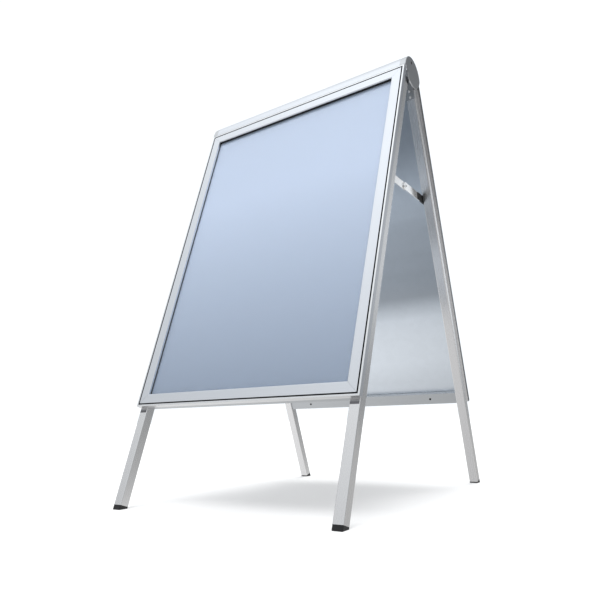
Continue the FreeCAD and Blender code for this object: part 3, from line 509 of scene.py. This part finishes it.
def make_object(name, form, material):
    """An object from a form, which is used up."""
    bmesh.ops.recalc_face_normals(form, faces=form.faces)
    mesh = bpy.data.meshes.new(name)
    form.to_mesh(mesh)
    form.free()
    mesh.materials.append(material)
    thing = bpy.data.objects.new(name, mesh)
    bpy.context.scene.collection.objects.link(thing)
    return thing


def add_piece(name, form, material, body):
    piece = make_object(name, form, material)
    piece.data.shade_smooth()
    piece.data.set_sharp_from_angle(angle=SHARP_ANGLE)
    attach(piece, body)
    return piece


def skin(form, first, second):
    """Faces between two rings of the same count."""
    count = len(first)
    for index in range(count):
        after = (index + 1) % count
        form.faces.new((first[index], first[after], second[after], second[index]))


# Seal on a flap's window lip: depth and inset of its section in millimetres.
# The top one is a full weather strip, the others are beads.
STRIP_SEAL = ((2.4, 31.9), (2.5, 32.3), (3.0, 32.5), (7.6, 32.6), (8.2, 32.5), (8.4, 32.2), (8.4, 31.9))
BEAD_SEAL = ((5.4, 31.9), (5.5, 32.2), (5.9, 32.4), (7.8, 32.5), (8.3, 32.3), (8.4, 31.9))
SEAL_END_GAP = 0.3
STRIP_SEAL_COLOUR = (0.010, 0.010, 0.012)
# One black rubber: the beads are painted a lighter grey than the strip, as painted light.
BEAD_SEAL_LIT_COLOUR = (0.05, 0.052, 0.056)


def add_seals():
    strip = dull("strip_rubber", STRIP_SEAL_COLOUR)
    bead = dull("bead_rubber", BEAD_SEAL_LIT_COLOUR)
    for leaf in UP_LEAF:
        for side in SIDES:
            half = FRAME_HALF if side in ("top", "bottom") else (FRAME_HIGH - FRAME_LOW) / 2
            section, material = (STRIP_SEAL, strip) if side == "top" else (BEAD_SEAL, bead)
            place = bar_place(leaf, side)
            form = bmesh.new()
            rings = []
            for end in (-1, 1):
                ring = []
                for depth, inset in section:
                    reach = half - (inset + SEAL_END_GAP) * MM
                    ring.append(form.verts.new(place @ Vector((end * reach, depth * MM, inset * MM))))
                form.faces.new(ring)
                rings.append(ring)
            skin(form, *rings)
            label = side if leaf == "front" else OTHER_SIDE[side]
            add_piece(f"{leaf}_{label}_seal", form, material, f"{leaf}_{label}_flap")


# Turned fasteners: rings of radius and height in millimetres, from the shank's end to the crown.
PAN_HEAD = ((3.0, 0), (3.0, 0.35), (2.8, 0.8), (2.35, 1.2), (1.8, 1.4))
RIVET_HEAD = ((3.0, 0), (3.0, 0.25), (2.75, 0.65), (2.1, 0.98), (1.35, 1.1), (0.95, 1.02))
SINK_HEAD = ((1.6, 0), (3.0, 1.4), (2.9, 1.5))
SCREW_RADIUS = 1.75
RIVET_RADIUS = 1.6
POINT_LENGTH = 0.9
# Cross recess: reach and half width of an arm at the crown and at its floor, and its depth.
CROSS_TOP = (1.45, 0.42)
CROSS_FLOOR = (0.95, 0.28)
CROSS_DEPTH = 0.85
CORNER_SLACK = 1e-6
# Mandrel hole in a blind rivet: radius at its floor and depth.
MANDREL_RADIUS = 0.85
MANDREL_DEPTH = 0.7


def cross_reach(angle, reach, half):
    """From the middle of a cross to its outline."""
    turn = (angle + math.pi / 4) % (math.pi / 2) - math.pi / 4
    if abs(turn) <= math.atan2(half, reach) + CORNER_SLACK:
        return reach / math.cos(turn)
    return half / abs(math.sin(turn))


def ring_angles():
    """Angles round a fastener that meet every corner of its cross recess."""
    reach, half = CROSS_TOP
    corner = math.degrees(math.atan2(half, reach))
    offsets = (-45, -30, -corner, 0, corner, 30)
    return [math.radians(quarter + offset) for quarter in (0, 90, 180, 270) for offset in offsets]


FASTENER_ANGLES = ring_angles()
SINK_STEPS = 24
SINK_ANGLES = [math.tau * step / SINK_STEPS for step in range(SINK_STEPS)]


def round_outlines(rings, angles):
    return [([radius] * len(angles), height) for radius, height in rings]


def turned(form, place, outlines, angles):
    """A closed form round a place's Z axis; an outline is its radii at the angles and its height."""
    loops = []
    for radii, height in outlines:
        loop = []
        for radius, angle in zip(radii, angles):
            spot = Vector((radius * math.cos(angle), radius * math.sin(angle), height))
            loop.append(form.verts.new(place @ (spot * MM)))
        loops.append(loop)
    form.faces.new(loops[0])
    for first, second in zip(loops, loops[1:]):
        skin(form, first, second)
    form.faces.new(loops[-1])


def fastener(form, place, rings, recess):
    """A fastener in its own frame, Z out of the head; rings of radius and height, then the recess."""
    outlines = round_outlines(rings, FASTENER_ANGLES)
    crown = rings[-1][1]
    if recess == "cross":
        for arm, height in ((CROSS_TOP, crown), (CROSS_FLOOR, crown - CROSS_DEPTH)):
            outlines.append(([cross_reach(angle, *arm) for angle in FASTENER_ANGLES], height))
    else:
        outlines += round_outlines([(MANDREL_RADIUS, crown - MANDREL_DEPTH)], FASTENER_ANGLES)
    turned(form, place, outlines, FASTENER_ANGLES)


def screw_rings(head, radius, length):
    return ((radius - POINT_LENGTH / 2, -length), (radius, POINT_LENGTH - length), (radius, 0), *head)


def rivet_rings(length):
    return ((RIVET_RADIUS, -length), (RIVET_RADIUS, 0), *RIVET_HEAD)


# Lengths of the shanks in millimetres.
LEG_SCREW_LENGTH = 3.6
BAR_SCREW_LENGTH = 22.1
HEADER_SCREW_LENGTH = 4.1
HINGE_RIVET_LENGTH = 4.1
# Where the fasteners sit on a leaf, in millimetres: across, depth of the seat, up along the leaf.
LEG_SCREW_HEIGHTS = [FRAME_MIDDLE / MM + step * 132.5 for step in (-3, -1, 1, 3)]
LEG_SCREWS = [(x, 10.5, up) for x in (-301.8, 301.8) for up in LEG_SCREW_HEIGHTS]
BAR_SCREWS = [(x, 32, 278) for x in (-212, 212)]
HINGE_RIVETS = [(x, 38, up) for x in (-303.5, 303.5) for up in (1104, 1119)]
HEADER_SCREWS = [(x, 14, 1138) for x in (-240, -120, 0, 120, 240)]
# Turns in degrees that bring a head out of the leaf's front or towards its back.
OUTWARD = 90
INWARD = -90


def fastener_set(name, node, leaf, centres, heading, rings, recess, material):
    """A set of fasteners that stands for a node."""
    form = bmesh.new()
    turn = Matrix.Rotation(math.radians(heading), 4, "X")
    for centre in centres:
        spot = Matrix.Translation(Vector(centre) * MM)
        fastener(form, leaf_place(leaf) @ spot @ turn, rings, recess)
    piece = add_piece(name, form, material, f"{leaf}_leaf")
    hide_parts(node)


def add_fasteners():
    steel = plated_steel("fastener_steel", STEEL_COLOUR)
    dark_steel = plated_steel("dark_steel", DARK_SCREW_AND_HOLE_SHADE_COLOUR)
    rivet_metal = plated_steel("rivet_metal", RIVET_COLOUR)
    leg_rings = screw_rings(PAN_HEAD, SCREW_RADIUS, LEG_SCREW_LENGTH)
    bar_rings = screw_rings(PAN_HEAD, SCREW_RADIUS, BAR_SCREW_LENGTH)
    header_rings = screw_rings(PAN_HEAD, SCREW_RADIUS, HEADER_SCREW_LENGTH)
    hinge_rings = rivet_rings(HINGE_RIVET_LENGTH)
    for leaf in UP_LEAF:
        sets = (
            ("leg_screw", LEG_SCREWS, OUTWARD, leg_rings, "cross", steel),
            ("crossbar_screw", BAR_SCREWS, INWARD, bar_rings, "cross", dark_steel),
            ("hinge_rivet", HINGE_RIVETS, INWARD, hinge_rings, "mandrel", rivet_metal),
        )
        for label, *rest in sets:
            fastener_set(f"{leaf}_{label}_set", f"{leaf}_{label}s", leaf, *rest)
    header_set = (HEADER_SCREWS, INWARD, header_rings, "cross", steel)
    fastener_set("header_screw_set", "header_screws", "front", *header_set)


def end_place(node, outward, depth, y, z):
    """A place sunk into a node's end face, Z out of the face. Outward is 1 to the right, -1 to the left."""
    low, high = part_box(node)
    face = high[0] if outward > 0 else low[0]
    turn = Matrix.Rotation(math.radians(90 * outward), 4, "Y")
    return Matrix.Translation((face - outward * depth, y, z)) @ turn


def sink(name, node, body, place, rings, material):
    """A turned hole in a CAD node, cut by a hidden object that rides with it. Its walls take the cutter's
    dark material, as painted shade in the hole.
    """
    form = bmesh.new()
    turned(form, place, round_outlines(rings, SINK_ANGLES), SINK_ANGLES)
    cutter = make_object(name, form, material)
    cutter.hide_render = True
    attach(cutter, body)
    cut = NODES[node].modifiers.new("sink", "BOOLEAN")
    cut.object = cutter
    cut.solver = "EXACT"
    cut.material_mode = "TRANSFER"


# Sunk screw in each end of the header: place and depth of its seat in metres.
CAP_SCREW_Y = -4.7 * MM
CAP_SCREW_Z = 1101.1 * MM
CAP_SINK = 1.9 * MM
# The screw's radius and length, and the hole's radius and height above the seat, in millimetres.
CAP_SCREW_RADIUS = 1.4
CAP_SCREW_LENGTH = 2.0
CAP_SINK_RINGS = ((1.7, -3), (1.7, 0), (3.9, 1.9), (3.9, 4))


def add_cap_screws(material):
    """Each end cap gets a sunk hole and the screw that sits in it."""
    rings = screw_rings(SINK_HEAD, CAP_SCREW_RADIUS, CAP_SCREW_LENGTH)
    for side, sign in HANDS.items():
        node = f"header_{side}_cap"
        place = end_place(node, sign, CAP_SINK, CAP_SCREW_Y, CAP_SCREW_Z)
        form = bmesh.new()
        fastener(form, place, rings, "cross")
        add_piece(f"{node}_screw", form, material, "front_leaf")
        sink(f"cap_sink_{side}", node, "front_leaf", place, CAP_SINK_RINGS, material)


# Hollow in the rivet in the middle of a stay: depth in metres, then radius and height in millimetres.
STAY_HOLLOW = 1.6 * MM
STAY_HOLLOW_RINGS = ((2.0, 0), (2.6, 0.5), (2.6, 4))


def add_stay_hollows(material):
    """The rivet's half head is on the outer face of a rear bar and on the inner face of a front bar."""
    for leaf, turn in LEAF_TURN.items():
        for side, sign in HANDS.items():
            stay = f"{leaf}_{side}_stay"
            node = f"{stay}_bar"
            low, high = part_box(node)
            place = end_place(node, -turn * sign, STAY_HOLLOW, 0, (low[2] + high[2]) / 2)
            sink(f"stay_hollow_{leaf}_{side}", node, stay, place, STAY_HOLLOW_RINGS, material)


def add_pieces():
    add_seals()
    add_fasteners()
    # Dark steel for the cap screws; on the walls of the holes it is painted shade.
    blackened_and_hole_shade = dull("blackened_steel", DARK_SCREW_AND_HOLE_SHADE_COLOUR)
    add_cap_screws(blackened_and_hole_shade)
    add_stay_hollows(blackened_and_hole_shade)


# Studio

FLOOR_HALF = 60.0
FLOOR_COLOUR = (0.50, 0.50, 0.50)
WHITE = (1, 1, 1, 1)
# The floor is a sweep lit from below, so that shadows on it stay pale.
FLOOR_GLOW = 0.44
# What the metal mirrors of it: brightness to the right and to the left of the sign, the share left
# far in front, and the places in metres between which these change.
MIRRORED_RIGHT = 0.64
MIRRORED_LEFT = 0.95
MIRRORED_FAR = 0.12
RIGHT_FROM = 0.30
LEFT_FROM = -0.45
NEAR_TO = -1.0
FAR_FROM = -3.5


def mirror_floor(surface):
    """The floor as the sign mirrors it, apart from the floor as it is seen."""
    split = surface.nodes.new("ShaderNodeSeparateXYZ")
    surface.link(surface.coordinates("Object"), split.inputs["Vector"])
    across = surface.span(split.outputs["X"], MIRRORED_LEFT, MIRRORED_RIGHT, LEFT_FROM, RIGHT_FROM)
    fading = surface.span(split.outputs["Y"], MIRRORED_FAR, 1, FAR_FROM, NEAR_TO)
    glow = surface.nodes.new("ShaderNodeEmission")
    surface.link(surface.combine("MULTIPLY", across, fading), glow.inputs["Strength"])
    path = surface.nodes.new("ShaderNodeLightPath")
    either = surface.nodes.new("ShaderNodeMixShader")
    surface.link(path.outputs["Is Camera Ray"], either.inputs[0])
    surface.link(glow.outputs["Emission"], either.inputs[1])
    surface.link(surface.shader.outputs["BSDF"], either.inputs[2])
    surface.link(either.outputs["Shader"], surface.nodes["Material Output"].inputs["Surface"])


def make_floor():
    mesh = bpy.data.meshes.new("floor")
    corners = [(-FLOOR_HALF, -FLOOR_HALF, 0), (FLOOR_HALF, -FLOOR_HALF, 0),
               (FLOOR_HALF, FLOOR_HALF, 0), (-FLOOR_HALF, FLOOR_HALF, 0)]
    mesh.from_pydata(corners, [], [(0, 1, 2, 3)])
    floor = bpy.data.objects.new("floor", mesh)
    bpy.context.scene.collection.objects.link(floor)
    surface = Surface("floor_paint", FLOOR_COLOUR, roughness=0.7)
    surface.vary_colour(surface.noise(surface.place(), scale=3), amount=0.01)
    surface.shader.inputs["Specular IOR Level"].default_value = 0
    surface.shader.inputs["Emission Color"].default_value = WHITE
    surface.shader.inputs["Emission Strength"].default_value = FLOOR_GLOW
    mirror_floor(surface)
    mesh.materials.append(surface.material)


# Directions towards the overhead lights.
OVERHEAD_FROM = {"overhead_front": Vector((0.05, -0.38, 1.0)), "overhead_back": Vector((0.0, 0.33, 1.0))}
OVERHEAD_POWER = 1.9
OVERHEAD_SPREAD = math.radians(34)


def overhead_lights():
    """Broad overhead lights for the floor and the matt pieces; the metal mirrors the studio instead."""
    for name, direction in OVERHEAD_FROM.items():
        data = bpy.data.lights.new(name, "SUN")
        data.energy = OVERHEAD_POWER
        data.angle = OVERHEAD_SPREAD
        lamp = bpy.data.objects.new(name, data)
        lamp.rotation_mode = "QUATERNION"
        lamp.rotation_quaternion = (-direction).to_track_quat("-Z", "Y")
        lamp.visible_glossy = False
        bpy.context.scene.collection.objects.link(lamp)


# The studio is brightest where this direction points, and fades away from it.
BRIGHT_SIDE = Vector((-0.30, -0.30, 0.905)).normalized()
STUDIO_COLOUR = (0.945, 0.98, 1.015, 1)
# Cosine of the angle from the bright side, and the studio's brightness there.
STUDIO_LEVELS = (
    (-1.0, 0.28),
    (-0.2, 0.32),
    (0.25, 0.34),
    (0.55, 0.46),
    (0.7, 0.60),
    (0.8, 0.68),
    (0.89, 0.77),
    (0.943, 0.90),
    (0.98, 1.14),
    (1.0, 1.36),
)
# Soft boxes: direction, angles from it in degrees where the light starts and where it is full, level.
SOFT_BOXES = (
    (Vector((0.242, 0.935, 0.259)), 16, 3, 1.08),
    (Vector((0.86, -0.41, 0.31)), 62, 5, 0.32),
    (Vector((-0.62, 0.35, 0.70)), 40, 10, 0.18),
)
BACKDROP = 1.1


def make_world():
    """The studio as the sign mirrors it, in front of a backdrop of plain white paper."""
    world = bpy.data.worlds.new("studio")
    bpy.context.scene.world = world
    world.use_nodes = True
    studio = Shading(world.node_tree)
    towards = studio.coordinates("Generated")
    level = studio.grade(studio.span(studio.dot(towards, BRIGHT_SIDE), 0, 1, -1, 1), STUDIO_LEVELS)
    for direction, edge, core, brightness in SOFT_BOXES:
        start = math.cos(math.radians(edge))
        full = math.cos(math.radians(core))
        cosine = studio.dot(towards, direction.normalized())
        box = studio.span(cosine, 0, brightness, start, full, easing="SMOOTHSTEP")
        level = studio.combine("ADD", level, box)
    path = studio.nodes.new("ShaderNodeLightPath")
    backdrop = studio.nodes.new("ShaderNodeMix")
    backdrop.inputs["B"].default_value = BACKDROP
    studio.link(path.outputs["Is Camera Ray"], backdrop.inputs["Factor"])
    studio.link(level, backdrop.inputs["A"])
    background = studio.nodes["Background"]
    background.inputs["Color"].default_value = STUDIO_COLOUR
    studio.link(backdrop.outputs["Result"], background.inputs["Strength"])


def make_studio():
    make_floor()
    make_world()
    overhead_lights()
    bpy.context.scene.view_settings.view_transform = "Standard"


make_camera()
dress_nodes()
add_pieces()
make_studio()
